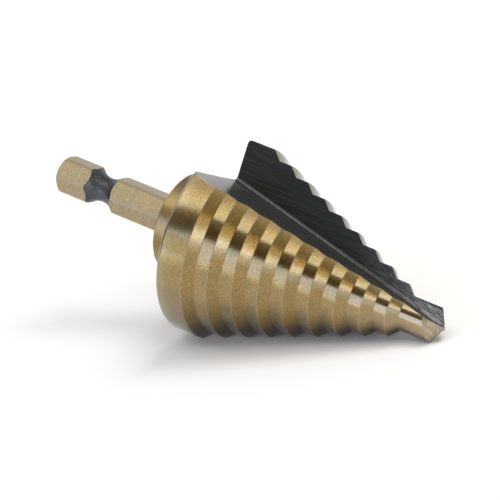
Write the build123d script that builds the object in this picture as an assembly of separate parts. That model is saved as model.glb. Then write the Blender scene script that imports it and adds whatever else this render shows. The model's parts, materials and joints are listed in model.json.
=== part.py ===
from build123d import *
import math
import os

# Step drill for sheet metal, 1/4 in to 1-3/8 in in ten steps of 1/8 in, on a quick-change hex shank.
# It is ground from one bar, so it is one solid.  Millimetres and degrees.
#
# The tool is built standing on its shank: Z runs along its axis from the shank's end to the point, and the
# cutting edge of the first blade points along +X.  At the end it is laid down as it comes to rest on a bench.

# --- steps ---------------------------------------------------------------------------------------------
STEP_COUNT = 10
LARGEST_DIAMETER = 34.925  # 1-3/8 in
STEP_DROP = 3.175  # each step is 1/8 in smaller across
STEP_PITCH = 4.12  # from the front edge of one land to the next
SLOPE_ANGLE = 44.0  # slope between two lands, from the axis
REAR_LAND = 5.4  # the largest land
PILOT_LAND = 5.75  # the smallest land, up to the point's corners
REAR_ROUND = 0.7  # rounded rear rim of the largest land
REAR_DISH = 4.5  # the rear face is hollow by this angle
RADIAL_RELIEF = 0.28  # each blade's lands are ground off the tool's axis by this

# --- point ---------------------------------------------------------------------------------------------
POINT_ANGLE = 118.0
RELIEF_CONE_ANGLE = 35.0  # half angle of the cone that each lip is relieved on
RELIEF_CONE_BACK = 2.85  # the cone's tip lies this far back along the lip, past the axis
RELIEF_CONE_SIDE = 0.95  # and this far in front of the lip
RELIEF_CONE_RISE = 0.15  # and this far above it

# --- flutes --------------------------------------------------------------------------------------------
FACE_OFFSET = 0.25  # cutting face ahead of the axis, at the largest land's front edge
FACE_LEAN = 0.4  # how much the cutting face turns towards the axis on its way to the point
ROOT_HEIGHT = 9.11  # flute floor above the axis, at the largest land's front edge
ROOT_SLOPE = 12.06  # the floor falls towards the point by this angle
FLOOR_DROP = 4.35  # the floor also falls away from the cutting face
ROOT_ROUND = 0.75
FLUTE_AZIMUTH = 33.0  # a plane through the axis that lies inside both flutes
OVERRUN = 3.0  # the blank and the wheel reach past the point by this

# --- collar and shank ----------------------------------------------------------------------------------
COLLAR_DIAMETER = 17.8
COLLAR_LENGTH = 6.8
COLLAR_CHAMFER = 0.4
SHANK_LENGTH = 25.4
HEX_ACROSS_FLATS = 6.3
HEX_ACROSS_CORNERS = 6.95  # the corners are turned off to this
HEX_TURN = -13.55  # a corner of the hexagon, from the first blade
SHANK_END_CHAMFER = 0.6
NECK_DIAMETER = 4.45
NECK_CENTRE = 9.25  # from the shank's end
NECK_RADIUS = 4.0  # of the groove that the chuck's balls snap into

# --- worked out ----------------------------------------------------------------------------------------
COLLAR_Z = SHANK_LENGTH
BODY_Z = COLLAR_Z + COLLAR_LENGTH
FIRST_EDGE_Z = BODY_Z + REAR_LAND
SLOPE_LENGTH = STEP_DROP / 2 / math.tan(math.radians(SLOPE_ANGLE))
PILOT_DIAMETER = LARGEST_DIAMETER - (STEP_COUNT - 1) * STEP_DROP
PILOT_Z = FIRST_EDGE_Z + (STEP_COUNT - 2) * STEP_PITCH + SLOPE_LENGTH
POINT_CORNER_Z = PILOT_Z + PILOT_LAND
LIP_FALL = PILOT_DIAMETER / 2 / math.tan(math.radians(POINT_ANGLE / 2))
OVERALL_LENGTH = POINT_CORNER_Z + LIP_FALL


def step_radius(step):
    return (LARGEST_DIAMETER - step * STEP_DROP) / 2


def turned(*outline, rounded=None, radius=0.0):
    """A solid turned about Z from (radius, height) corners; one of them may be rounded."""
    profile = make_face(Polyline(*outline, close=True))
    if rounded is not None:
        profile = fillet(profile.vertices().sort_by_distance(rounded)[0], radius)
    return revolve(Plane.XZ * profile, Axis.Z)


def step_blank():
    """The stepped cone as it is turned, before the flutes and the point."""
    blank_top = OVERALL_LENGTH + OVERRUN
    rear_rim = (step_radius(0), BODY_Z)
    dish = step_radius(0) * math.tan(math.radians(REAR_DISH))
    outline = [(0, BODY_Z + dish), rear_rim, (step_radius(0), FIRST_EDGE_Z)]
    for step in range(1, STEP_COUNT):
        edge_z = FIRST_EDGE_Z + (step - 1) * STEP_PITCH
        land_top = blank_top if step == STEP_COUNT - 1 else edge_z + STEP_PITCH
        outline.append((step_radius(step), edge_z + SLOPE_LENGTH))
        outline.append((step_radius(step), land_top))
    outline.append((0, blank_top))
    return turned(*outline, rounded=rear_rim, radius=REAR_ROUND)


def flute_cutter():
    """The V that a grinding wheel leaves in front of the first blade, run straight out past the rear rim."""
    reach = 2 * LARGEST_DIAMETER
    start_z = BODY_Z - COLLAR_LENGTH / 2
    run = OVERALL_LENGTH + OVERRUN - start_z
    back = FIRST_EDGE_Z - start_z
    fall = math.tan(math.radians(ROOT_SLOPE))
    lean = math.tan(math.radians(FACE_LEAN))
    root = (ROOT_HEIGHT + back * fall, FACE_OFFSET + back * lean)
    floor_end = (root[0] - reach * math.tan(math.radians(FLOOR_DROP)), root[1] + reach)
    outline = [root, (root[0] + reach, root[1]), (root[0] + reach, root[1] + reach), floor_end]
    section = make_face(Polyline(*outline, close=True))
    section = fillet(section.vertices().sort_by_distance(root)[0], ROOT_ROUND)
    travel = Vector(-fall, -lean, 1)
    return extrude(Pos(0, 0, start_z) * section, amount=run * travel.length, dir=travel)


def point_relief():
    """What the point grinder takes off behind the first lip: all that is outside a leaning cone."""
    half_point = math.radians(POINT_ANGLE / 2)
    cone_height = 4 * PILOT_DIAMETER
    cone_radius = cone_height * math.tan(math.radians(RELIEF_CONE_ANGLE))
    cone = Cone(cone_radius, 0, cone_height, align=(Align.CENTER, Align.CENTER, Align.MAX))
    cone_tip = Pos(
        -RELIEF_CONE_BACK * math.sin(half_point),
        RELIEF_CONE_SIDE,
        OVERALL_LENGTH + RELIEF_CONE_BACK * math.cos(half_point) + RELIEF_CONE_RISE,
    )
    lean = POINT_ANGLE / 2 - RELIEF_CONE_ANGLE
    swept = Cylinder(PILOT_DIAMETER, 2 * LIP_FALL + PILOT_LAND)
    return Pos(0, 0, OVERALL_LENGTH) * swept - cone_tip * Rot(0, -lean, 0) * cone


def blade():
    """One of the body's two like halves: lands ground off centre, and its own flank at the point."""
    reach = 2 * OVERALL_LENGTH
    behind = Box(reach, reach, reach, align=(Align.CENTER, Align.MAX, Align.CENTER))
    relieved = Pos(0, RADIAL_RELIEF, 0) * step_blank()
    return (relieved & Rot(0, 0, FLUTE_AZIMUTH) * behind) - point_relief()


def stepped_body():
    half_turn = Rot(0, 0, 180)
    first = blade()
    flute = flute_cutter()
    return first + half_turn * first - flute - half_turn * flute


def collar():
    radius = COLLAR_DIAMETER / 2
    chamfer_top = (radius, COLLAR_Z + COLLAR_CHAMFER)
    seat = FIRST_EDGE_Z
    return turned((0, COLLAR_Z), (radius - COLLAR_CHAMFER, COLLAR_Z), chamfer_top, (radius, seat), (0, seat))


def hex_shank():
    """The hexagon with its corners turned off, a chamfered end and the round groove for the chuck's balls."""
    corner = HEX_ACROSS_CORNERS / 2
    end = corner - SHANK_END_CHAMFER
    seat = COLLAR_Z + COLLAR_LENGTH / 2
    hexagon = extrude(Rot(0, 0, HEX_TURN) * RegularPolygon(HEX_ACROSS_FLATS / 2, 6, major_radius=False), seat)
    bar = turned((0, 0), (end, 0), (corner, SHANK_END_CHAMFER), (corner, seat), (0, seat))
    groove = Pos(0, 0, NECK_CENTRE) * Torus(NECK_DIAMETER / 2 + NECK_RADIUS, NECK_RADIUS)
    return (hexagon & bar) - groove


def resting_corners(tool):
    """The three corners that it lies on: both sides of the lower flute at the largest land, and the pilot's."""
    ring = tool.vertices().filter_by_position(Axis.Z, FIRST_EDGE_Z - 0.01, FIRST_EDGE_Z + 0.01)
    edge = ring.sort_by(Axis.X)[0]
    heel = ring.filter_by_position(Axis.X, -LARGEST_DIAMETER, 0).sort_by(Axis.Y)[0]
    pilot = tool.vertices().sort_by_distance((-PILOT_DIAMETER / 2, 0, POINT_CORNER_Z))[0]
    return [Vector(*corner) for corner in (edge, heel, pilot)]


def laid_down(tool):
    """The tool on its three corners, its point towards +X, with its origin below its middle at bench level."""
    edge, heel, pilot = resting_corners(tool)
    up = (pilot - edge).cross(heel - edge).normalized()
    ahead = Vector(0, 0, 1) - up * up.Z
    bench = Plane(origin=edge, x_dir=ahead, z_dir=up)
    resting = bench.to_local_coords(tool)
    box = resting.bounding_box()
    return Pos(-box.center().X, -box.center().Y, 0) * resting


tool = stepped_body() + collar() + hex_shank()
step_drill = laid_down(tool)

os.makedirs("parts", exist_ok=True)
export_step(step_drill, "parts/step_drill.step")

size = step_drill.bounding_box().size
print(f"step_drill: {OVERALL_LENGTH:.2f} mm long, lies {size.X:.2f} x {size.Y:.2f} x {size.Z:.2f} mm")
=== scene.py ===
# %% [markdown]
# # A step drill, in Blender
# The drill is built here a second time, for its looks, in the very place of the plain solid.
# It is modelled as it is made: turned, ground off centre, fluted with a wheel, and pointed.
# This first cell loads the solid as a fixed frame and measures it, so that the new drill can be held
# against it at the end.

# %% Load the frame
import json
import math

import bpy
from mathutils import Matrix, Vector

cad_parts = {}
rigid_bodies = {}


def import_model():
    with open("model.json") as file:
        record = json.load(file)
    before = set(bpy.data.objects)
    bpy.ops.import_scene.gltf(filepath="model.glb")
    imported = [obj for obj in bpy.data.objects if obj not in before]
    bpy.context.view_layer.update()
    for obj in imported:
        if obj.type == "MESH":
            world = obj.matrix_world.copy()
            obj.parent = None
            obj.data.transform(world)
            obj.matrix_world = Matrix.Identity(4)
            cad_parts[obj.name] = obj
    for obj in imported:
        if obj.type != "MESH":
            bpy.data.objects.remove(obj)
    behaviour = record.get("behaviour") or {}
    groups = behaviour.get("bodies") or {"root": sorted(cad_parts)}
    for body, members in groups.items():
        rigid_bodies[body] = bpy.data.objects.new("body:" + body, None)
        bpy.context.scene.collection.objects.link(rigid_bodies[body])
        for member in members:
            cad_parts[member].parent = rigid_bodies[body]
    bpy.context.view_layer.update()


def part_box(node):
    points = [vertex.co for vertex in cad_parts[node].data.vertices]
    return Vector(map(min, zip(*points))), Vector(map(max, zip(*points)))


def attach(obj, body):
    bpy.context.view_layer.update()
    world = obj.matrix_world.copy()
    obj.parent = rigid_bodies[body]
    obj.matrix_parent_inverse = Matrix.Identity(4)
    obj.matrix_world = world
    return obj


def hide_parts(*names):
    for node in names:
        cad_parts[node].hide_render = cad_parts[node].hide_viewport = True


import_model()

# %% [markdown]
# ## Working upright, in millimetres
# A drill is easiest to model standing on its shank, with Z along its axis and one unit to the millimetre.
# Then every size is a size from the workshop drawing. At the end the mesh is laid down and scaled to metres.
# The sizes here are those of the stepped cone, which most cells share: ten lands, each an eighth of an inch
# smaller across than the one below it, slopes between them, and a pilot that ends in a point.

# %% Sizes of the stepped cone
STEP_COUNT = 10
LARGEST_RADIUS = 17.4625
STEP_DROP = 1.5875
STEP_PITCH = 4.12
SLOPE_LENGTH = STEP_DROP / math.tan(math.radians(44))
BODY_FOOT = 32.2
FIRST_EDGE = 37.6
PILOT_RADIUS = LARGEST_RADIUS - (STEP_COUNT - 1) * STEP_DROP
PILOT_FOOT = FIRST_EDGE + (STEP_COUNT - 2) * STEP_PITCH + SLOPE_LENGTH
PILOT_LENGTH = 5.75
POINT_HALF_ANGLE = math.radians(59)
POINT_TIP = PILOT_FOOT + PILOT_LENGTH + PILOT_RADIUS / math.tan(POINT_HALF_ANGLE)
OVERRUN = 3.0
print("length from end to point:", round(POINT_TIP, 2))

# %% [markdown]
# ## Selecting
# Blender's operators act on all that is selected, so each step starts by selecting one piece and nothing
# else.

# %% Selecting one piece


def deselect_all():
    for thing in bpy.context.view_layer.objects:
        thing.select_set(False)


def select_only(piece):
    deselect_all()
    bpy.context.view_layer.objects.active = piece
    piece.select_set(True)


def edit_only(piece):
    select_only(piece)
    bpy.ops.object.mode_set(mode="EDIT")


# %% [markdown]
# ## A lathe
# Most of this tool is turned, so a small lathe helper comes first. It puts down one vertex, extrudes it from
# corner to corner of the outline, and spins that line once round the Z axis. The seam of the spin and the two
# poles are merged, and the normals are recalculated, because a spin can turn a shape inside out.

# %% The lathe
TURNS = 320
SAME_POINT = 0.0005


def lathe(name, outline, centre=(0, 0)):
    deselect_all()
    bpy.ops.mesh.primitive_plane_add(size=1, location=(0, 0, 0))
    piece = bpy.context.object
    piece.name = name
    bpy.ops.object.mode_set(mode="EDIT")
    bpy.ops.mesh.select_all(action="SELECT")
    bpy.ops.mesh.merge(type="CENTER")
    bpy.ops.transform.translate(value=(outline[0][0] + centre[0], centre[1], outline[0][1]))
    for here, there in zip(outline, outline[1:]):
        step = (there[0] - here[0], 0, there[1] - here[1])
        bpy.ops.mesh.extrude_region_move(TRANSFORM_OT_translate={"value": step})
    bpy.ops.mesh.select_all(action="SELECT")
    axis_spot = (centre[0], centre[1], 0)
    bpy.ops.mesh.spin(steps=TURNS, angle=math.tau, center=axis_spot, axis=(0, 0, 1))
    bpy.ops.mesh.select_all(action="SELECT")
    bpy.ops.mesh.remove_doubles(threshold=SAME_POINT)
    bpy.ops.mesh.normals_make_consistent(inside=False)
    bpy.ops.object.mode_set(mode="OBJECT")
    print(name, len(piece.data.polygons), "faces")
    return piece


# %% [markdown]
# ## Cutting and joining
# Blender's Boolean modifier does what the grinding wheels do. A piece's cut faces keep the finish of the
# cutter that made them, which is how the flutes come out black and the lands gold with nothing painted by
# hand.

# %% Boolean helper


def machine(piece, tool, operation):
    """Cut, trim or join a piece with a tool, which is used up."""
    select_only(piece)
    step = piece.modifiers.new("machine", "BOOLEAN")
    step.operation = operation
    step.solver = "EXACT"
    step.material_mode = "TRANSFER"
    step.object = tool
    bpy.ops.object.modifier_apply(modifier=step.name)
    bpy.data.objects.remove(tool)
    print(piece.name, operation.lower(), len(piece.data.polygons), "faces")


def turned_copy(piece, name):
    """The same piece again, half a turn round the axis."""
    twin = piece.copy()
    twin.data = piece.data.copy()
    twin.name = name
    bpy.context.collection.objects.link(twin)
    twin.data.transform(Matrix.Rotation(math.pi, 4, "Z"))
    return twin


# %% [markdown]
# ## Names for the finishes
# Each surface that was made in its own way gets its own material: the coated lands, the oxidised flutes, the
# ground point, the milled hexagon and the bare groove. They are made empty here, so that the cutters can
# carry them, and are filled in further on.

# %% Empty finishes


def finish(name):
    material = bpy.data.materials.new(name)
    material.use_nodes = True
    print("finish:", name)
    return material


coated_steel = finish("coated_steel")
fluted_steel = finish("fluted_steel")
ground_point = finish("ground_point")
milled_hexagon = finish("milled_hexagon")
bare_groove = finish("bare_groove")

# %% [markdown]
# ## The stepped cone
# Real corners are never dead sharp: even the smallest flat at an edge catches the light. So each outer corner
# is broken by a hair, and the rear rim is well rounded.

# %% Corners and rim


def broken_corner(before, corner, after, size):
    """Two points in place of a corner, each a little way along its sides."""
    points = []
    for side in (before, after):
        away = Vector(side) - Vector(corner)
        spot = Vector(corner) + away.normalized() * size
        points.append((spot.x, spot.y))
    return points


def rear_rim(radius, foot, size):
    """A quarter round at the rear rim, in steps of fifteen degrees."""
    points = []
    for step in range(7):
        turn = math.radians(270 + 15 * step)
        points.append((radius - size + size * math.cos(turn), foot + size + size * math.sin(turn)))
    return points


# %% [markdown]
# The outline climbs from the hollow rear face over ten lands and the slopes between them. It runs on past the
# tip, because the point is ground later.

# %% Outline of the stepped cone
HOLLOW = math.radians(4.5)
RIM_ROUND = 0.7
CORNER_BREAK = 0.07


def land_radius(step):
    return LARGEST_RADIUS - step * STEP_DROP


def stepped_outline():
    top = POINT_TIP + OVERRUN
    dish = LARGEST_RADIUS * math.tan(HOLLOW)
    rough = [(LARGEST_RADIUS, FIRST_EDGE)]
    for step in range(1, STEP_COUNT):
        edge = FIRST_EDGE + (step - 1) * STEP_PITCH
        rough.append((land_radius(step), edge + SLOPE_LENGTH))
        rough.append((land_radius(step), top if step == STEP_COUNT - 1 else edge + STEP_PITCH))
    outline = [(0, BODY_FOOT + dish)] + rear_rim(LARGEST_RADIUS, BODY_FOOT, RIM_ROUND)
    chain = [outline[-1]] + rough
    for before, corner, after in zip(chain, chain[1:], chain[2:]):
        outline += broken_corner(before, corner, after, CORNER_BREAK)
    return outline + [rough[-1], (0, top)]


cone_outline = stepped_outline()
print("outline:", len(cone_outline), "points")

# %% [markdown]
# Behind its cutting edge a blade's lands must not rub, so each half of the cone is turned on an axis that is
# moved a little to the side. The half is cut from the full turning with Bisect, and a hair of overlap is left
# at the middle so that the two halves fuse.

# %% One half of the cone
RELIEF = 0.28
PARTING = math.radians(33)
OVERLAP = 0.01
blade = lathe("blade", cone_outline, centre=(0, RELIEF))
blade.data.materials.append(coated_steel)
away_side = Vector((-math.sin(PARTING), math.cos(PARTING), 0))
edit_only(blade)
bpy.ops.mesh.select_all(action="SELECT")
bpy.ops.mesh.bisect(plane_co=away_side * OVERLAP, plane_no=away_side, use_fill=True, clear_outer=True)
bpy.ops.mesh.select_all(action="SELECT")
bpy.ops.mesh.normals_make_consistent(inside=False)
bpy.ops.object.mode_set(mode="OBJECT")
print("half cone:", len(blade.data.polygons), "faces")

# %% [markdown]
# ## The point
# A point grinder swings each lip round a leaning cone, which lowers the flank behind the lip. The cutter is
# a round block with that cone taken out of it, so what it removes is everything outside the cone. The cone's
# lean and its half angle add up to the half angle of the point.

# %% The block
deselect_all()
bpy.ops.mesh.primitive_cylinder_add(
    vertices=64, radius=2 * PILOT_RADIUS, depth=9.5, location=(0, 0, POINT_TIP)
)
point_wheel = bpy.context.object
point_wheel.name = "point_wheel"
point_wheel.data.materials.append(ground_point)


def settle(piece):
    """Put a piece's place, turn and size into its mesh."""
    select_only(piece)
    bpy.ops.object.transform_apply(location=True, rotation=True, scale=True)
    print(piece.name, "measures", [round(side, 2) for side in piece.dimensions])


settle(point_wheel)

# %% [markdown]
# The cone's tip stands beyond the drill's own, out along the line of the lip and a little to one side. The
# further it stands to the side, the more the flank falls away behind the lip.

# %% The swing cone
CONE_LEAN = math.radians(24)
CONE_HALF_ANGLE = math.radians(35)
TIP_BEYOND = 2.85
TIP_ASIDE = 0.95
TIP_LIFT = 0.15
cone_height = 8 * PILOT_RADIUS
tip_height = POINT_TIP + TIP_BEYOND * math.cos(POINT_HALF_ANGLE) + TIP_LIFT
cone_tip = Vector((-TIP_BEYOND * math.sin(POINT_HALF_ANGLE), TIP_ASIDE, tip_height))
down_the_cone = Vector((math.sin(CONE_LEAN), 0, -math.cos(CONE_LEAN)))
bpy.ops.mesh.primitive_cone_add(
    vertices=256,
    radius1=cone_height * math.tan(CONE_HALF_ANGLE),
    radius2=0,
    depth=cone_height,
    location=cone_tip + down_the_cone * cone_height / 2,
    rotation=(0, -CONE_LEAN, 0),
)
swing = bpy.context.object
swing.name = "swing_cone"
swing.data.materials.append(ground_point)
settle(swing)

# %% [markdown]
# The ground half is copied half a turn round, and the two are joined. Both lips are then alike.

# %% Grind the point and join the halves
machine(point_wheel, swing, "DIFFERENCE")
machine(blade, point_wheel, "DIFFERENCE")
second_blade = turned_copy(blade, "second_blade")
machine(blade, second_blade, "UNION")

# %% [markdown]
# ## The flutes
# A flute is the track of one grinding wheel: a V with a rounded root, run out past the largest land and
# sloping towards the point. One side of the V is the cutting face, and the other leans a little open. It
# starts as a plane whose corners are moved to the section of the wheel.

# %% Section of the flute wheel
FLUTE_FALL = math.tan(math.radians(12.06))
FLUTE_LEAN = math.tan(math.radians(0.4))
FLUTE_SLANT = math.tan(math.radians(4.35))
ROOT_OUT = 9.11
ROOT_ASIDE = 0.25
FLUTE_START = 28.8
REACH = 45.0


def pick_vertex(piece, index):
    """Edit mode, with one vertex selected."""
    edit_only(piece)
    bpy.ops.mesh.select_mode(type="VERT")
    bpy.ops.mesh.select_all(action="DESELECT")
    bpy.ops.object.mode_set(mode="OBJECT")
    piece.data.vertices[index].select = True
    bpy.ops.object.mode_set(mode="EDIT")


back = FIRST_EDGE - FLUTE_START
root = Vector((ROOT_OUT + back * FLUTE_FALL, ROOT_ASIDE + back * FLUTE_LEAN, FLUTE_START))
section = [
    root,
    root + Vector((REACH, 0, 0)),
    root + Vector((REACH, REACH, 0)),
    root + Vector((-REACH * FLUTE_SLANT, REACH, 0)),
]
deselect_all()
bpy.ops.mesh.primitive_plane_add(size=1, location=(0, 0, 0))
flute_wheel = bpy.context.object
flute_wheel.name = "flute_wheel"
flute_wheel.data.materials.append(fluted_steel)
ring = list(flute_wheel.data.polygons[0].vertices)
for corner, spot in zip(ring, section):
    pick_vertex(flute_wheel, corner)
    bpy.ops.transform.translate(value=spot - flute_wheel.data.vertices[corner].co)
    bpy.ops.object.mode_set(mode="OBJECT")
print("flute's root starts at", [round(value, 2) for value in root])

# %% [markdown]
# The root's corner is rounded with a vertex bevel, as a wheel's own corner is, and one extrude draws the
# section along the wheel's path. The second flute is the first one turned by half a turn.

# %% Run the flute wheel
ROOT_BEVEL = 0.695
pick_vertex(flute_wheel, ring[0])
bpy.ops.mesh.bevel(offset=ROOT_BEVEL, segments=14, affect="VERTICES")
bpy.ops.mesh.select_all(action="SELECT")
run = POINT_TIP + OVERRUN - FLUTE_START
travel = (-FLUTE_FALL * run, -FLUTE_LEAN * run, run)
bpy.ops.mesh.extrude_region_move(TRANSFORM_OT_translate={"value": travel})
bpy.ops.mesh.select_all(action="SELECT")
bpy.ops.mesh.normals_make_consistent(inside=False)
bpy.ops.object.mode_set(mode="OBJECT")
print("flute wheel:", len(flute_wheel.data.polygons), "faces")
second_wheel = turned_copy(flute_wheel, "second_wheel")
machine(blade, flute_wheel, "DIFFERENCE")
machine(blade, second_wheel, "DIFFERENCE")

# %% [markdown]
# ## The collar
# The collar is plain turning, and stands between the shank and the cone. Its lower edge has a chamfer whose
# own two corners are softened.

# %% The collar
COLLAR_FOOT = 25.4
COLLAR_RADIUS = 8.9
COLLAR_CHAMFER = [(8.48, 0.0), (8.56, 0.03), (8.84, 0.28), (COLLAR_RADIUS, 0.4)]
collar_edge = [(radius, COLLAR_FOOT + rise) for radius, rise in COLLAR_CHAMFER]
collar_top = [(COLLAR_RADIUS, FIRST_EDGE), (0, FIRST_EDGE)]
collar = lathe("collar", [(0, COLLAR_FOOT)] + collar_edge + collar_top)
collar.data.materials.append(coated_steel)

# %% [markdown]
# ## The shank
# The shank is a bar with a chamfer at its end and a round groove for the chuck's balls. The bar is turned, as
# the collar was. The groove and the chamfer get the bare finish, and they are found by their height.

# %% The bar and its groove
CORNER = 3.475
END_CHAMFER = 0.6
BAR_TOP = 29.0
GROOVE_MIDDLE = 9.25
GROOVE_RADIUS = 4.0
GROOVE_HALF = 2.9054
NECK = 2.225


def groove_points():
    half = math.degrees(math.asin(GROOVE_HALF / GROOVE_RADIUS))
    points = []
    for step in range(13):
        turn = math.radians(-half + 2 * half * step / 12)
        bottom = NECK + GROOVE_RADIUS - GROOVE_RADIUS * math.cos(turn)
        points.append((bottom, GROOVE_MIDDLE + GROOVE_RADIUS * math.sin(turn)))
    return points


bar_end = [(0, 0), (CORNER - END_CHAMFER, 0), (CORNER, END_CHAMFER)]
shank = lathe("shank", bar_end + groove_points() + [(CORNER, BAR_TOP), (0, BAR_TOP)])
shank.data.materials.append(milled_hexagon)
shank.data.materials.append(bare_groove)
for face in shank.data.polygons:
    in_groove = abs(face.center.z - GROOVE_MIDDLE) < GROOVE_HALF
    on_chamfer = abs(face.center.z - END_CHAMFER / 2) < END_CHAMFER / 4
    if in_groove or on_chamfer:
        face.material_index = 1
print("bare faces:", sum(face.material_index for face in shank.data.polygons))

# %% [markdown]
# The bar is kept only where it is also inside a hexagon, which is how hexagonal stock with turned corners
# looks. The hexagon is turned to where it stands against the flutes, and then all is joined into one drill.

# %% The hexagon
HALF_FLATS = 3.15
HEXAGON_MIDDLE = 18
HEXAGON_TURN = math.radians(-13.55)
deselect_all()
bpy.ops.mesh.primitive_cylinder_add(
    vertices=6, radius=HALF_FLATS / math.cos(math.radians(30)), depth=40, location=(0, 0, 0)
)
hexagon = bpy.context.object
hexagon.name = "hexagon"
hexagon.data.materials.append(milled_hexagon)
hexagon.data.transform(Matrix.Translation((0, 0, HEXAGON_MIDDLE)))
first_corner = max(hexagon.data.vertices, key=lambda v: v.co.x + 0.001 * v.co.y).co
first_turn = math.atan2(first_corner.y, first_corner.x)
hexagon.data.transform(Matrix.Rotation(HEXAGON_TURN - first_turn, 4, "Z"))
machine(shank, hexagon, "INTERSECT")
machine(blade, collar, "UNION")
machine(blade, shank, "UNION")
drill = blade
drill.name = "step_drill_piece"

# %% [markdown]
# The Boolean solver leaves a few slivers without any area where edges run in line. Merging what lies within
# half a thousandth of a millimetre and dissolving the slivers leaves one closed shell.

# %% Close the shell
edit_only(drill)
bpy.ops.mesh.select_all(action="SELECT")
bpy.ops.mesh.remove_doubles(threshold=SAME_POINT)
bpy.ops.mesh.select_all(action="SELECT")
bpy.ops.mesh.dissolve_degenerate(threshold=SAME_POINT)
bpy.ops.object.mode_set(mode="OBJECT")
print("closed shell:", len(drill.data.polygons), "faces")

# %% [markdown]
# ## Laying it down
# The drill rests on both sides of its lower flute and on the corner of its point. The directions of its own
# three axes in that pose turn the whole mesh, and the scale brings it to metres. Faces that meet at less than
# eighteen degrees are shaded as one round, and every sharper edge stays crisp.

# %% Lay the drill down
lie = Matrix(
    (
        (0.24505996, 0.15502120, 0.95703398, -37.8009764),
        (0.53460051, -0.84510490, 0.0, 0.0),
        (0.80879411, 0.51163085, -0.28997579, 25.1545436),
        (0, 0, 0, 1),
    )
)
TO_METRES = 0.001
SMOOTH_BELOW = math.radians(18)
drill.data.transform(Matrix.Scale(TO_METRES, 4) @ lie)
drill.data.update()
select_only(drill)
bpy.ops.object.shade_smooth_by_angle(angle=SMOOTH_BELOW)

# %% [markdown]
# The box round the new drill must be the solid's box. The drill stands for the solid from here on, and it
# moves with the only body.

# %% Hold it against the solid
low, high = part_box("step_drill")
corners = [v.co for v in drill.data.vertices]
for axis in range(3):
    low_gap = min(corner[axis] for corner in corners) - low[axis]
    high_gap = max(corner[axis] for corner in corners) - high[axis]
    print("xyz"[axis], "off by mm:", round(low_gap * 1000, 3), round(high_gap * 1000, 3))
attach(drill, "root")
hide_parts("step_drill")

# %% [markdown]
# ## Node helpers
# The finishes are all made from nodes, so they look right from every side. A few small helpers keep the node
# work readable. Each adds one node, feeds it, and hands back its output, so that a pattern can be written
# down like a sum.

# %% Adding and feeding nodes


def add(tree, kind):
    return tree.nodes.new("ShaderNode" + kind)


def feed(tree, socket, value):
    """Link a socket to another node's output, or set it to a plain value."""
    if isinstance(value, bpy.types.NodeSocket):
        tree.links.new(value, socket)
    else:
        socket.default_value = value


def maths(tree, operation, first, second=0.0, third=0.0):
    node = add(tree, "Math")
    node.operation = operation
    for socket, value in zip(node.inputs, (first, second, third)):
        feed(tree, socket, value)
    return node.outputs[0]


def times(tree, first, second):
    return maths(tree, "MULTIPLY", first, second)


def blended(tree, factor, first, second, kind="MIX"):
    """Two colours mixed; a colour is three numbers or the output of another node."""
    node = add(tree, "Mix")
    node.data_type = "RGBA"
    node.blend_type = kind
    feed(tree, node.inputs[0], factor)
    for socket, colour in ((node.inputs[6], first), (node.inputs[7], second)):
        feed(tree, socket, (*colour, 1) if isinstance(colour, tuple) else colour)
    return node.outputs[2]


# %% [markdown]
# A mask says where something shows: one where it does, nought where it doesn't. Wear has no hard edges, so
# both helpers for masks change smoothly.

# %% Masks


def smooth(tree, value, low, high, start=0.0, end=1.0):
    """start below low, end above high, with a smooth change between them."""
    node = add(tree, "MapRange")
    node.interpolation_type = "SMOOTHSTEP"
    tree.links.new(value, node.inputs["Value"])
    node.inputs["From Min"].default_value = low
    node.inputs["From Max"].default_value = high
    node.inputs["To Min"].default_value = start
    node.inputs["To Max"].default_value = end
    return node.outputs["Result"]


def band(tree, value, rise, full, fall, end):
    """One between two values, with soft ends."""
    return times(tree, smooth(tree, value, rise, full), smooth(tree, value, fall, end, 1.0, 0.0))


# %% [markdown]
# ## Where on the drill
# A pattern is easiest to place in the workshop's terms: so many millimetres up the axis, so far out from it.
# This Mapping node stands the drill up again inside the material. It starts from Object coordinates, which
# move with the mesh, so the pattern stays put whatever the view.

# %% Places on the drill
upright = lie.inverted()


def upright_place(tree):
    """The place on the drill in upright millimetres."""
    mapping = add(tree, "Mapping")
    mapping.inputs["Scale"].default_value = (1 / TO_METRES, 1 / TO_METRES, 1 / TO_METRES)
    mapping.inputs["Rotation"].default_value = upright.to_euler()
    mapping.inputs["Location"].default_value = upright.translation
    tree.links.new(add(tree, "TexCoord").outputs["Object"], mapping.inputs["Vector"])
    return mapping.outputs["Vector"]


def xyz(tree, vector):
    split = add(tree, "SeparateXYZ")
    tree.links.new(vector, split.inputs[0])
    return split.outputs


def dot(tree, vector, direction):
    """How far a place lies along a direction."""
    node = add(tree, "VectorMath")
    node.operation = "DOT_PRODUCT"
    tree.links.new(vector, node.inputs[0])
    node.inputs[1].default_value = direction
    return node.outputs["Value"]


def distance_out(tree, spot):
    """How far a place is from the axis."""
    squares = maths(tree, "MULTIPLY_ADD", spot[0], spot[0], times(tree, spot[1], spot[1]))
    return maths(tree, "SQRT", squares)


# %% [markdown]
# ## Grain
# Noise that is scaled more one way than another is drawn out into lines. Almost all that a tool leaves on
# steel can be made so: lathe marks, milling marks, grinding lines and scuffs.

# %% Grain


def stretched(tree, vector, scale, turn=(0, 0, 0)):
    """The place turned first and then scaled, so that lines can run in any direction."""
    turned = add(tree, "Mapping")
    turned.inputs["Rotation"].default_value = turn
    tree.links.new(vector, turned.inputs["Vector"])
    scaled = add(tree, "Mapping")
    scaled.inputs["Scale"].default_value = scale
    tree.links.new(turned.outputs["Vector"], scaled.inputs["Vector"])
    return scaled.outputs["Vector"]


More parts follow.
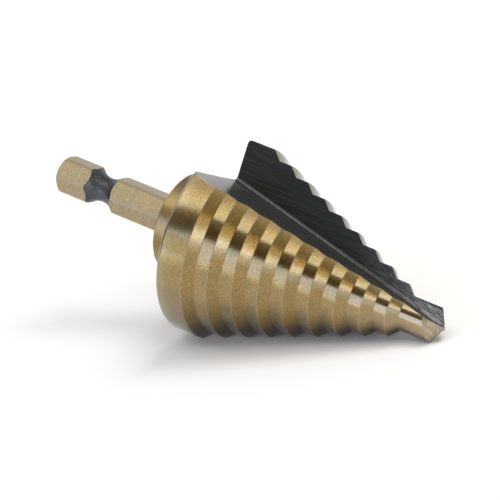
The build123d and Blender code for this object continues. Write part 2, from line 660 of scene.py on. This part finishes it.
def grain(tree, vector, scale, detail=2.0, rough=0.5):
    node = add(tree, "TexNoise")
    tree.links.new(vector, node.inputs["Vector"])
    node.inputs["Scale"].default_value = scale
    node.inputs["Detail"].default_value = detail
    node.inputs["Roughness"].default_value = rough
    return node.outputs[0]


def engrave(tree, shader, height, strength, depth):
    """A pattern felt as well as seen: bump so many metres deep."""
    bump = add(tree, "Bump")
    bump.inputs["Strength"].default_value = strength
    bump.inputs["Distance"].default_value = depth
    tree.links.new(height, bump.inputs["Height"])
    tree.links.new(bump.outputs["Normal"], shader.inputs["Normal"])


def dress(tree, shader, tone, roughness):
    """Link a finish's colour and roughness to its shader."""
    tree.links.new(tone, shader.inputs["Base Color"])
    tree.links.new(roughness, shader.inputs["Roughness"])
    print("a finish of", len(tree.nodes), "nodes")


# %% [markdown]
# ## The gold coating
# The coating is a few thousandths of a millimetre of hard nitride on turned steel: a metal with a warm
# colour, fairly smooth, under a faint clear gloss. Brushed metal spreads each highlight across its lines, so
# the shader is anisotropic, and it is told which way the lines run: round the axis.

# %% Coated metal


def round_the_axis(tree):
    """The direction round the drill's axis, along which the lands were turned and brushed."""
    away = add(tree, "VectorMath")
    away.operation = "SUBTRACT"
    tree.links.new(add(tree, "TexCoord").outputs["Object"], away.inputs[0])
    away.inputs[1].default_value = lie.translation * TO_METRES
    across = add(tree, "VectorMath")
    across.operation = "CROSS_PRODUCT"
    across.inputs[0].default_value = lie.col[2].xyz
    tree.links.new(away.outputs[0], across.inputs[1])
    unit = add(tree, "VectorMath")
    unit.operation = "NORMALIZE"
    tree.links.new(across.outputs[0], unit.inputs[0])
    return unit.outputs[0]


def coated_metal(material, anisotropic=0.4, coat_roughness=0.10):
    tree = material.node_tree
    shader = tree.nodes["Principled BSDF"]
    shader.inputs["Metallic"].default_value = 1.0
    shader.inputs["Anisotropic"].default_value = anisotropic
    shader.inputs["Coat Weight"].default_value = 0.35
    shader.inputs["Coat IOR"].default_value = 1.5
    shader.inputs["Coat Roughness"].default_value = coat_roughness
    tree.links.new(round_the_axis(tree), shader.inputs["Tangent"])
    return tree, shader


# %% [markdown]
# The lathe's lines are noise that is squeezed along the axis and long round it. A fine speckle lies over them
# in the colour and in the gloss. Handling has clouded the coating in large soft patches, warmer in some
# places and greener in others, with small darker stains and a few spots of ochre.

# %% Lines, speckle and patina


def tool_lines(tree, place, pitch=9.0):
    return grain(tree, stretched(tree, place, (0.12, 0.12, pitch)), 1.0, 3.0, 0.6)


def lined_relief(tree, shader, place, lines, depth):
    """The tool's lines on a slightly uneven surface."""
    height = maths(tree, "MULTIPLY_ADD", grain(tree, place, 5.0, 2.0), 1.5, lines)
    engrave(tree, shader, height, 0.5, depth)


def fine_speckle(tree, place):
    return grain(tree, place, 3.2, 4.0, 0.75)


def speckled_gloss(tree, speckle, roughness):
    """A roughness that the speckle moves up and down by four hundredths."""
    return maths(tree, "MULTIPLY_ADD", speckle, 0.08, roughness - 0.04)


def tinted(colour, tint):
    return tuple(part * share for part, share in zip(colour, tint))


def patina(tree, place, speckle, colour):
    cloud = grain(tree, stretched(tree, place, (0.42, 0.42, 0.65)), 1.0, 4.0, 0.65)
    stain = grain(tree, stretched(tree, place, (1.1, 1.1, 1.6), (0.7, 0.2, 0.4)), 1.0, 4.0, 0.7)
    darker = tinted(colour, (0.80, 0.77, 0.68))
    lighter = tinted(colour, (1.15, 1.16, 1.22))
    warmer = tinted(colour, (1.05, 0.93, 0.68))
    greener = tinted(colour, (0.80, 0.88, 0.76))
    ochre = tinted(colour, (1.12, 0.90, 0.42))
    tone = blended(tree, smooth(tree, speckle, 0.41, 0.60), darker, lighter)
    tone = blended(tree, smooth(tree, cloud, 0.51, 0.64, 0.0, 0.75), tone, warmer)
    tone = blended(tree, smooth(tree, cloud, 0.34, 0.49, 0.75, 0.0), tone, greener)
    tone = blended(tree, smooth(tree, stain, 0.62, 0.74, 0.0, 0.5), tone, darker, "MULTIPLY")
    return blended(tree, smooth(tree, stain, 0.30, 0.42, 0.6, 0.0), tone, ochre)


# %% [markdown]
# ## Where the stepped cone is worn, and where light is painted on it
# The steps repeat, so one fraction of the height, counted in steps, finds every slope and every front edge at
# once. The rear rim is found by its height and its distance out, and the heel, where the largest land ends at
# the flute, by its distance from the flute's wall.

# %% Slopes, edges, rim and heel


def stepped_masks(tree, along):
    """Two masks from the height: the slopes, and the thin line at each land's front edge that carries a
    painted highlight.
    """
    turn = maths(tree, "DIVIDE", maths(tree, "SUBTRACT", along, FIRST_EDGE), STEP_PITCH)
    part = maths(tree, "FRACT", turn)
    inside = band(tree, along, FIRST_EDGE - 0.3, FIRST_EDGE - 0.2, PILOT_FOOT + 0.1, PILOT_FOOT + 0.2)
    slope_share = SLOPE_LENGTH / STEP_PITCH
    slope = smooth(tree, part, slope_share, slope_share + 0.02, 1.0, 0.0)
    front_edge_line = smooth(tree, maths(tree, "PINGPONG", turn, 0.5), 0.006, 0.030, 1.0, 0.0)
    return times(tree, slope, inside), times(tree, front_edge_line, inside)


def rear_rim_mask(tree, spot):
    """The rounded rear rim of the largest land."""
    below = smooth(tree, spot[2], BODY_FOOT + 0.40, BODY_FOOT + 0.62, 1.0, 0.0)
    above = smooth(tree, spot[2], BODY_FOOT - 0.05, BODY_FOOT)
    out = distance_out(tree, spot)
    outside = smooth(tree, out, LARGEST_RADIUS - 0.5625, LARGEST_RADIUS - 0.2625)
    return times(tree, times(tree, below, above), outside)


def heel_mask(tree, place, spot):
    """The thin strip of the largest land where it ends at the flute."""
    out = dot(tree, place, (1, FLUTE_SLANT, 0))
    wall = maths(tree, "MULTIPLY_ADD", spot[2], -FLUTE_FALL, ROOT_OUT + FIRST_EDGE * FLUTE_FALL)
    gap = maths(tree, "SUBTRACT", wall, maths(tree, "ABSOLUTE", out))
    strip = smooth(tree, gap, 0.22, 0.38, 1.0, 0.0)
    near_rear = smooth(tree, spot[2], BODY_FOOT + 0.6, FIRST_EDGE + 2.2, 0.8, 0.0)
    this_side = smooth(tree, times(tree, out, spot[1]), 0.0, 20.0)
    return times(tree, times(tree, strip, near_rear), this_side)


# %% [markdown]
# Just behind each cutting edge the lands and slopes are painted dark brown: painted shade for the underside
# that the lower blade turns to the floor. One number says how far round from that edge a place is: the
# tangent of the angle. It is the same for both blades, because it doesn't change when x and y both change
# sign.

# %% Painted shade behind the cutting edge


def behind_edge_shade_mask(tree, spot):
    """The first thirty degrees behind each cutting edge: painted shade on the lower blade's underside."""
    turn = times(tree, maths(tree, "DIVIDE", spot[1], spot[0]), -1.0)
    on_body = smooth(tree, spot[2], BODY_FOOT, BODY_FOOT + 0.1)
    return times(tree, band(tree, turn, -0.10, -0.04, 0.15, 0.75), on_body)


# %% [markdown]
# ## The coated body
# All the marks on the body go on like glazes, one over the other, so they are kept as a list: where, what
# colour, and whether it covers or tints. The slopes are painted a shade browner and darker, as painted shade,
# and the small steps near the point are paler. Strips along the axis are found by x over y, which tells how
# far round they are: painted shade towards the underside and across a highlight on the largest land, a paler
# painted highlight on the slopes, and a stain on the collar. The largest land is paler towards its rear rim.
# Heights are in millimetres from the shank's end. A paler line along each broken front edge is a painted
# highlight.

# %% Marks on the body


def body_marks(tree, place, spot, speckle, slope, front_edge_line):
    """Each mark's mask, its colour, and how it goes on."""
    sideways = maths(tree, "DIVIDE", spot[0], times(tree, spot[1], -1.0))
    on_land = band(tree, spot[2], BODY_FOOT, BODY_FOOT + 0.1, FIRST_EDGE - 0.1, FIRST_EDGE)
    on_collar = smooth(tree, spot[2], BODY_FOOT - 0.1, BODY_FOOT, 1.0, 0.0)
    # Painted shade: a darker, greyer strip of the largest land towards the underside.
    land_shade_strip = times(tree, band(tree, sideways, 0.70, 0.95, 2.0, 3.5), on_land)
    # Painted highlight: the slopes paler and cooler in one strip round the axis.
    slope_highlight_tint = times(tree, band(tree, sideways, -0.03, 0.04, 0.15, 0.24), slope)
    # The largest land paler towards its rear rim.
    paler_rear = times(tree, smooth(tree, spot[2], BODY_FOOT + 0.4, BODY_FOOT + 3.2, 0.4, 0.0), on_land)
    # Painted shade: a darker, browner strip on the largest land that dims the highlight there.
    dimmed_land_highlight = times(tree, band(tree, sideways, 0.07, 0.14, 0.25, 0.36), on_land)
    stained_collar = times(tree, band(tree, sideways, 0.36, 0.56, 0.78, 1.05), on_collar)
    # Painted highlight: a paler line along each broken front edge, broken up by the speckle.
    painted_edge_highlight = times(tree, front_edge_line, smooth(tree, speckle, 0.40, 0.56, 0.2, 0.7))
    return [
        # Painted shade: every slope a shade browner and darker than the lands.
        (times(tree, slope, 0.9), (0.95, 0.90, 0.78), "MULTIPLY"),
        (smooth(tree, spot[2], 58.0, 78.0, 0.0, 0.7), (0.40, 0.315, 0.20), "MIX"),
        # Painted shade: dark brown just behind each cutting edge, the underside of the lower blade.
        (behind_edge_shade_mask(tree, spot), (0.115, 0.085, 0.058), "MIX"),
        (times(tree, land_shade_strip, 0.55), (0.22, 0.185, 0.125), "MIX"),
        (slope_highlight_tint, (1.10, 1.20, 1.60), "MULTIPLY"),
        (paler_rear, (0.44, 0.37, 0.23), "MIX"),
        (dimmed_land_highlight, (0.76, 0.68, 0.42), "MULTIPLY"),
        (stained_collar, (0.82, 0.77, 0.58), "MULTIPLY"),
        (painted_edge_highlight, (0.42, 0.355, 0.24), "MIX"),
        (times(tree, rear_rim_mask(tree, spot), 0.8), (0.27, 0.265, 0.285), "MIX"),
        (heel_mask(tree, place, spot), (0.42, 0.40, 0.43), "MIX"),
    ]


# %% [markdown]
# The lands were brushed bright. The collar and the broken edges are duller, and the largest land, which has
# seen the most handling, lies in between.

# %% Coat the body


def coated_body(material):
    tree, shader = coated_metal(material)
    place = upright_place(tree)
    spot = xyz(tree, place)
    speckle = fine_speckle(tree, place)
    lined_relief(tree, shader, place, tool_lines(tree, place), 0.000006)
    slope, front_edge_line = stepped_masks(tree, spot[2])
    tone = patina(tree, place, speckle, (0.328, 0.243, 0.113))
    for mask, colour, kind in body_marks(tree, place, spot, speckle, slope, front_edge_line):
        tone = blended(tree, mask, tone, colour, kind)
    collar_part = smooth(tree, spot[2], BODY_FOOT - 0.05, BODY_FOOT + 0.05, 1.0, 0.0)
    largest_land = smooth(tree, spot[2], FIRST_EDGE - 0.1, FIRST_EDGE, 0.3, 0.0)
    duller = maths(tree, "MAXIMUM", maths(tree, "MAXIMUM", collar_part, largest_land), front_edge_line)
    gloss = maths(tree, "MULTIPLY_ADD", duller, 0.20, speckled_gloss(tree, speckle, 0.11))
    dress(tree, shader, tone, gloss)


coated_body(coated_steel)

# %% [markdown]
# ## The hexagon
# The hexagon was milled before it was coated, and the cutter's marks cross its faces, wider apart than the
# lathe's. Its turned corners are rubbed duller by the chuck, and their lighter tone is a painted highlight.

# %% Coat the hexagon


def coated_hexagon(material):
    tree, shader = coated_metal(material, anisotropic=0.6, coat_roughness=0.30)
    place = upright_place(tree)
    speckle = fine_speckle(tree, place)
    lines = tool_lines(tree, place, pitch=3.4)
    lined_relief(tree, shader, place, lines, 0.000014)
    tone = patina(tree, place, speckle, (0.392, 0.315, 0.186))
    tone = blended(tree, smooth(tree, lines, 0.40, 0.62, 0.0, 0.55), tone, (0.28, 0.225, 0.135))
    # The turned corners: duller, and a lighter tone along them that is a painted highlight.
    corner = smooth(tree, distance_out(tree, xyz(tree, place)), CORNER - 0.05, CORNER - 0.01, 0.0, 0.7)
    tone = blended(tree, corner, tone, (0.56, 0.47, 0.31))
    gloss = maths(tree, "MULTIPLY_ADD", corner, 0.45, speckled_gloss(tree, speckle, 0.34))
    dress(tree, shader, tone, gloss)


coated_hexagon(milled_hexagon)

# %% [markdown]
# ## The point
# The point was ground last and is coated most thinly, so it is paler and pinker. It is scuffed lighter and
# darker across, crossed by a few bright swirls from the grinder, and pitted where it has met hard spots.

# %% Coat the point


def coated_point(material):
    tree, shader = coated_metal(material, coat_roughness=0.35)
    place = upright_place(tree)
    speckle = fine_speckle(tree, place)
    lined_relief(tree, shader, place, tool_lines(tree, place), 0.000010)
    tone = patina(tree, place, speckle, (0.375, 0.32, 0.25))
    scuffed = grain(tree, stretched(tree, place, (2.4, 1.0, 1.0), (0.2, 0.6, 0.8)), 1.0, 4.0, 0.7)
    tone = blended(tree, smooth(tree, scuffed, 0.50, 0.64, 0.0, 0.55), tone, (0.58, 0.51, 0.42))
    tone = blended(tree, smooth(tree, scuffed, 0.36, 0.49, 0.75, 0.0), tone, (0.24, 0.19, 0.135))
    swirl = grain(tree, stretched(tree, place, (9.0, 0.9, 0.9), (0.3, 0.5, 0.9)), 1.0, 3.0, 0.6)
    tone = blended(tree, smooth(tree, swirl, 0.60, 0.66, 0.0, 0.6), tone, (0.66, 0.58, 0.46))
    pits = grain(tree, stretched(tree, place, (2.6, 2.6, 2.6), (1.1, 0.0, 0.3)), 1.0, 2.0)
    tone = blended(tree, smooth(tree, pits, 0.69, 0.73, 0.0, 0.8), tone, (0.10, 0.06, 0.05))
    dress(tree, shader, tone, speckled_gloss(tree, speckle, 0.36))


coated_point(ground_point)

# %% [markdown]
# ## The black flutes
# The flutes were blackened: a thin oxide that drinks the light and isn't a metal to look at, so the shader's
# metal is left at nought. Its marks follow the wheel's path, so each place is first measured from the corner
# line at the root of its own flute.

# %% Distance from the root


def off_root(tree, spot):
    """How far a place is from its flute's corner line: along the cutting face, and up the other side."""
    side = maths(tree, "SIGN", spot[0])
    root_x = maths(tree, "MULTIPLY_ADD", spot[2], -FLUTE_FALL, ROOT_OUT + FIRST_EDGE * FLUTE_FALL)
    root_y = maths(tree, "MULTIPLY_ADD", spot[2], -FLUTE_LEAN, ROOT_ASIDE + FIRST_EDGE * FLUTE_LEAN)
    away_x = maths(tree, "SUBTRACT", times(tree, side, spot[0]), root_x)
    away_y = maths(tree, "SUBTRACT", times(tree, side, spot[1]), root_y)
    return away_x, away_y


# %% [markdown]
# Fine grinding lines run along the whole flute. Chips have scored the cutting face near the point, first to
# grey and at the very point to bright steel, all but a dark rim by its edge. A pale, patchy line along the
# root, thinner towards the point, is a painted highlight, and the far wall is worn grey at the rear.

# %% Marks in the flutes


def flute_marks(tree, place, spot, lines):
    """Each mark's mask and its colour."""
    away_x, away_y = off_root(tree, spot)
    along_flute = (0, math.atan(FLUTE_FALL), 0)
    scored = grain(tree, stretched(tree, place, (6.5, 6.5, 0.55), along_flute), 1.0, 5.0, 0.75)
    scored = smooth(tree, scored, 0.42, 0.60)
    on_face = smooth(tree, away_y, 0.3, 0.6, 1.0, 0.0)
    near_point = times(tree, smooth(tree, spot[2], 57.0, 74.0), on_face)
    at_point = times(tree, smooth(tree, spot[2], 68.0, 75.0), on_face)
    out = maths(tree, "ABSOLUTE", spot[0])
    rim = times(tree, smooth(tree, out, PILOT_RADIUS - 0.45, PILOT_RADIUS - 0.15), at_point)
    worn_end = times(tree, smooth(tree, spot[2], 32.0, 38.0, 0.8, 0.0), smooth(tree, away_y, 1.0, 4.0))
    thinned = smooth(tree, spot[2], 56.0, 70.0, 1.0, 1.7)
    from_root = times(tree, distance_out(tree, (away_x, away_y)), thinned)
    pitted = smooth(tree, grain(tree, place, 2.4, 3.0, 0.7), 0.35, 0.60, 0.35, 1.0)
    return [
        (times(tree, near_point, 0.45), (0.050, 0.050, 0.053)),
        (times(tree, scored, near_point), (0.165, 0.165, 0.168)),
        (times(tree, scored, at_point), (0.35, 0.35, 0.36)),
        (times(tree, rim, smooth(tree, lines, 0.35, 0.55)), (0.012, 0.012, 0.013)),
        (worn_end, (0.16, 0.16, 0.165)),
        # Painted highlight: a pale, patchy line along the rounded root, thinner towards the point.
        (times(tree, smooth(tree, from_root, 0.30, 0.46, 1.0, 0.0), pitted), (0.115, 0.130, 0.138)),
    ]


# %% [markdown]
# The oxide's own tone is nearly black and varies with the grinding lines. The lines are felt in the gloss and
# in the bump too.

# %% Blacken the flutes


def black_oxide(material):
    tree = material.node_tree
    shader = tree.nodes["Principled BSDF"]
    shader.inputs["Metallic"].default_value = 0.0
    shader.inputs["IOR"].default_value = 1.42
    shader.inputs["Specular Tint"].default_value = (0.98, 0.97, 0.92, 1)
    place = upright_place(tree)
    lines = grain(tree, stretched(tree, place, (4.2, 4.2, 0.06)), 1.0, 3.0, 0.65)
    tone = blended(tree, smooth(tree, lines, 0.3, 0.7), (0.013, 0.0140, 0.0137), (0.028, 0.0300, 0.0295))
    for mask, colour in flute_marks(tree, place, xyz(tree, place), lines):
        tone = blended(tree, mask, tone, colour)
    engrave(tree, shader, lines, 0.3, 0.00002)
    dress(tree, shader, tone, maths(tree, "MULTIPLY_ADD", lines, 0.12, 0.18))


black_oxide(fluted_steel)

# %% [markdown]
# ## The bare groove
# The groove and the chamfer at the end have no coating and have gone a dull, mottled grey. A few bright
# specks are left along one side, where a chuck's balls have rubbed.

# %% Dull the groove


def dull_steel(material):
    tree = material.node_tree
    shader = tree.nodes["Principled BSDF"]
    shader.inputs["Metallic"].default_value = 1.0
    place = upright_place(tree)
    mottle = grain(tree, place, 1.2, 3.0, 0.6)
    tone = blended(tree, smooth(tree, mottle, 0.3, 0.7), (0.078, 0.086, 0.092), (0.100, 0.108, 0.114))
    speck = grain(tree, stretched(tree, place, (2.0, 2.0, 3.2), (0.5, 0.3, 0.0)), 1.0, 4.0, 0.75)
    rubbed_turn = math.radians(72)
    upper = dot(tree, place, (math.cos(rubbed_turn), math.sin(rubbed_turn), 0))
    rubbed = times(tree, smooth(tree, upper, 2.0, 2.3), smooth(tree, speck, 0.56, 0.66))
    tone = blended(tree, times(tree, rubbed, 0.8), tone, (0.34, 0.35, 0.35))
    dress(tree, shader, tone, maths(tree, "MULTIPLY_ADD", mottle, 0.1, 0.36))


dull_steel(bare_groove)

# %% [markdown]
# ## The floor
# A plain pale floor runs far out behind the drill. It scatters light evenly. A trace of glow, which only the
# camera and reflections see, takes it the last little way to white without lighting the drill.

# %% Floor
FLOOR_GLOW = 0.03
deselect_all()
bpy.ops.mesh.primitive_plane_add(size=6, location=(0, 0, 0))
floor = bpy.context.object
floor.name = "floor"
pale_floor = finish("pale_floor")
floor.data.materials.append(pale_floor)
floor_tree = pale_floor.node_tree
paint = floor_tree.nodes["Principled BSDF"]
paint.inputs["Base Color"].default_value = (0.93, 0.93, 0.93, 1)
paint.inputs["Roughness"].default_value = 0.9
paint.inputs["Specular IOR Level"].default_value = 0.0
paint.inputs["Emission Color"].default_value = (1, 1, 1, 1)
ray = add(floor_tree, "LightPath").outputs
floor_seen = maths(floor_tree, "MAXIMUM", ray["Is Camera Ray"], ray["Is Glossy Ray"])
floor_seen = maths(floor_tree, "MAXIMUM", floor_seen, ray["Is Transmission Ray"])
floor_tree.links.new(times(floor_tree, floor_seen, FLOOR_GLOW), paint.inputs["Emission Strength"])

# %% [markdown]
# ## The camera
# A long lens from a little way off keeps a small tool's lines from spreading. The camera looks a little down
# on the drill and leans, so that the drill crosses the frame from corner to corner.

# %% Camera
camera_data = bpy.data.cameras.new("camera")
camera_data.sensor_width = 36
camera_data.lens = 264.48
camera_data.clip_start = 0.01
camera = bpy.data.objects.new("camera", camera_data)
camera.location = (0.375998, -0.459178, 0.232306)
camera.rotation_euler = [math.radians(turn) for turn in (69.4153, 9.98909, 35.56024)]
bpy.context.collection.objects.link(camera)
bpy.context.scene.camera = camera
print("camera", round(camera.location.length, 3), "m away")

# %% [markdown]
# ## One soft lamp
# A single large lamp stands almost overhead, a little behind the drill and to its right. It gives the soft
# shadow under the steps, without raising the light above the level at which colours look as they are written.
# Polished metal would show it as a hard square, so reflections leave it out and show the room instead.

# %% Lamp
lamp_data = bpy.data.lights.new("high_lamp", "AREA")
lamp_data.shape = "SQUARE"
lamp_data.size = 0.6
lamp_data.energy = 5.6
lamp = bpy.data.objects.new("high_lamp", lamp_data)
lamp.location = Vector((0.25, 0.35, 1.0)).normalized() * 1.2
lamp.rotation_euler = lamp.location.to_track_quat("Z", "Y").to_euler()
bpy.context.collection.objects.link(lamp)
lamp.visible_glossy = False
print("lamp:", round(lamp_data.energy, 1), "W at", [round(value, 2) for value in lamp.location], "m")

# %% [markdown]
# ## The room
# Polished metal shows the room it stands in, and a steady white room would leave the lands flat. This world
# is a plain room of middle tone with a dark gap on the camera's side. The gap is a ring that leans back, so
# lands and slopes cross it at different places, as they do on a bench. One Color Ramp draws the room from
# below the gap to above it. A ramp holds no tone above one, so each is kept as a share of the brightest, and
# the world's strength brings it back.

# %% Room
BRIGHTEST = 3.0
RING_AXIS = Vector((-0.127, 0.663, 0.738)).normalized()
world = bpy.data.worlds.new("studio")
bpy.context.scene.world = world
world.use_nodes = True
room_tree = world.node_tree
towards = add(room_tree, "TexCoord").outputs["Generated"]
height = dot(room_tree, towards, RING_AXIS)


def wall(stops):
    """A wall's colour from below the gap to above it; a stop is (height, red, green, blue)."""
    node = add(room_tree, "ValToRGB")
    room_tree.links.new(maths(room_tree, "MULTIPLY_ADD", height, 0.5, 0.5), node.inputs["Fac"])
    ramp = node.color_ramp
    ramp.interpolation = "LINEAR"
    while len(ramp.elements) < len(stops):
        ramp.elements.new(0.5)
    for element, stop in zip(ramp.elements, stops):
        element.position = stop[0] * 0.5 + 0.5
        element.color = (stop[1] / BRIGHTEST, stop[2] / BRIGHTEST, stop[3] / BRIGHTEST, 1)
    print("a wall of", len(ramp.elements), "tones")
    return node.outputs["Color"]


room = wall(
    [
        (-0.60, 0.72, 0.71, 0.70),
        (-0.20, 0.72, 0.72, 0.74),
        (-0.08, 0.25, 0.23, 0.20),
        (0.12, 0.25, 0.23, 0.20),
        (0.28, 0.76, 0.76, 0.78),
        (0.50, 0.86, 0.86, 0.86),
        (0.62, 1.0, 1.0, 1.0),
    ]
)

# %% [markdown]
# Two walls of the room are a light tent, as for small shiny goods. On the left there is a cool screen below
# the gap and a soft box above it. On the right a screen fades upwards, cool at its foot and warm by the gap.

# %% Walls of the light tent
left_wall = wall(
    [
        (-0.66, 0.95, 0.95, 0.98),
        (-0.61, 1.10, 1.12, 1.1),
        (-0.56, 1.45, 1.42, 1.35),
        (-0.48, 1.66, 1.80, 2.30),
        (-0.28, 1.56, 1.78, 2.65),
        (-0.17, 1.44, 1.66, 2.50),
        (-0.09, 0.17, 0.14, 0.08),
        (0.04, 0.17, 0.14, 0.08),
        (0.25, 0.38, 0.33, 0.24),
        (0.30, 2.10, 2.22, 2.5),
        (0.36, 2.10, 2.15, 2.2),
        (0.50, 1.9, 1.88, 1.7),
        (0.57, 1.45, 1.42, 1.3),
        (0.66, 1.10, 1.10, 1.0),
    ]
)
right_wall = wall(
    [
        (-0.64, 1.0, 1.0, 1.15),
        (-0.55, 1.75, 1.85, 2.3),
        (-0.44, 1.75, 1.85, 2.3),
        (-0.38, 1.50, 1.48, 1.4),
        (-0.32, 1.42, 1.30, 1.0),
        (-0.22, 1.25, 1.06, 0.65),
        (-0.14, 0.55, 0.48, 0.34),
        (-0.03, 0.50, 0.46, 0.36),
        (0.10, 0.72, 0.68, 0.58),
        (0.24, 1.0, 0.95, 0.85),
        (0.40, 0.8, 0.8, 0.8),
    ]
)

# %% [markdown]
# Each wall shows through a soft-edged window in the room, found from the direction in which a ray goes. The
# roof behind the drill is dim, so that faces which look up and back stay deep in tone. The camera itself sees
# plain white in place of the room.

# %% Put the room together
LEFT_ALONG = (-0.899, 0.438, 0)
LEFT_TOWARDS = (-0.438, -0.899, 0)
RIGHT_TOWARDS = Vector((0.93, -0.25, 0.14)).normalized()
left_across = maths(room_tree, "ABSOLUTE", dot(room_tree, towards, LEFT_ALONG))
left_window = smooth(room_tree, left_across, 0.28, 0.42, 1.0, 0.0)
left_ahead = smooth(room_tree, dot(room_tree, towards, LEFT_TOWARDS), -0.2, 0.1)
tent = blended(room_tree, times(room_tree, left_window, left_ahead), room, left_wall)
right_window = smooth(room_tree, dot(room_tree, towards, RIGHT_TOWARDS), 0.80, 0.90)
tent = blended(room_tree, right_window, tent, right_wall)
upwards = smooth(room_tree, dot(room_tree, towards, (0, 0, 1)), 0.40, 0.65)
backwards = smooth(room_tree, dot(room_tree, towards, (0, 1, 0)), 0.0, 0.2)
tent = blended(room_tree, times(room_tree, upwards, backwards), tent, (0.16, 0.153, 0.135))
white = (1 / BRIGHTEST, 1 / BRIGHTEST, 1 / BRIGHTEST)
seen = blended(room_tree, add(room_tree, "LightPath").outputs["Is Camera Ray"], tent, white)
background = room_tree.nodes["Background"]
room_tree.links.new(seen, background.inputs["Color"])
background.inputs["Strength"].default_value = BRIGHTEST
bpy.context.scene.view_settings.view_transform = "Standard"
print("room of", len(room_tree.nodes), "nodes")

# %% [markdown]
# ## Two reflector cards
# Two low cards lie almost flat on the floor, to the left and right of the camera, and carry the two screens
# down to it. The slopes lean towards one and the lands towards the other. Each fades out on the side of the
# drill, so that its reflection has no hard end.

# %% Place and glow of a card
CARD_TILT = math.radians(4.5)
CARD_LIFT = 0.002


def stand_card(card, azimuth, near, far):
    """Lay a card's mesh out at an azimuth, from near to far metres out; gives back the way outwards."""
    turn = math.radians(azimuth)
    outwards = Vector((math.sin(turn), math.cos(turn), 0))
    sideways = Vector((outwards.y, -outwards.x, 0))
    rise = outwards * math.cos(CARD_TILT) + Vector((0, 0, math.sin(CARD_TILT)))
    stand = Matrix((sideways, rise, sideways.cross(rise))).transposed().to_4x4()
    lift = CARD_LIFT + (far - near) / 2 * math.sin(CARD_TILT)
    middle = outwards * (near + far) / 2 + Vector((0, 0, lift))
    card.data.transform(Matrix.Translation(middle) @ stand)
    card.data.update()
    return outwards


def glow_outwards(card, outwards, near, whole, colour, strength):
    """A glow that starts at near metres out and is whole from the distance whole."""
    glow = finish(card.name + "_glow")
    card.data.materials.append(glow)
    tree = glow.node_tree
    paint = tree.nodes["Principled BSDF"]
    paint.inputs["Base Color"].default_value = (0, 0, 0, 1)
    paint.inputs["Specular IOR Level"].default_value = 0.0
    paint.inputs["Emission Color"].default_value = colour
    paint.inputs["Emission Strength"].default_value = strength
    distance = dot(tree, add(tree, "TexCoord").outputs["Object"], outwards)
    tree.links.new(smooth(tree, distance, near, whole), paint.inputs["Alpha"])


# %% [markdown]
# Each card is a plane with rounded corners, and nothing but reflections sees it.

# %% Make the two cards


def reflector_card(name, azimuth, near, far, width, whole, colour, strength):
    deselect_all()
    bpy.ops.mesh.primitive_plane_add(size=1, location=(0, 0, 0))
    card = bpy.context.object
    card.name = name
    edit_only(card)
    bpy.ops.mesh.select_all(action="SELECT")
    bpy.ops.transform.resize(value=(width, far - near, 1))
    bpy.ops.mesh.bevel(offset=0.03, segments=6, affect="VERTICES")
    bpy.ops.object.mode_set(mode="OBJECT")
    outwards = stand_card(card, azimuth, near, far)
    card.visible_camera = False
    card.visible_shadow = False
    card.visible_diffuse = False
    glow_outwards(card, outwards, near, whole, colour, strength)
    print(name, "from", near, "to", far, "m")


reflector_card("right_card", 120, 0.065, 0.42, 0.32, 0.17, (0.76, 0.84, 1.0, 1), 3.1)
reflector_card("left_card", 209, 0.09, 0.55, 0.26, 0.25, (1.0, 0.99, 0.93, 1), 1.50)
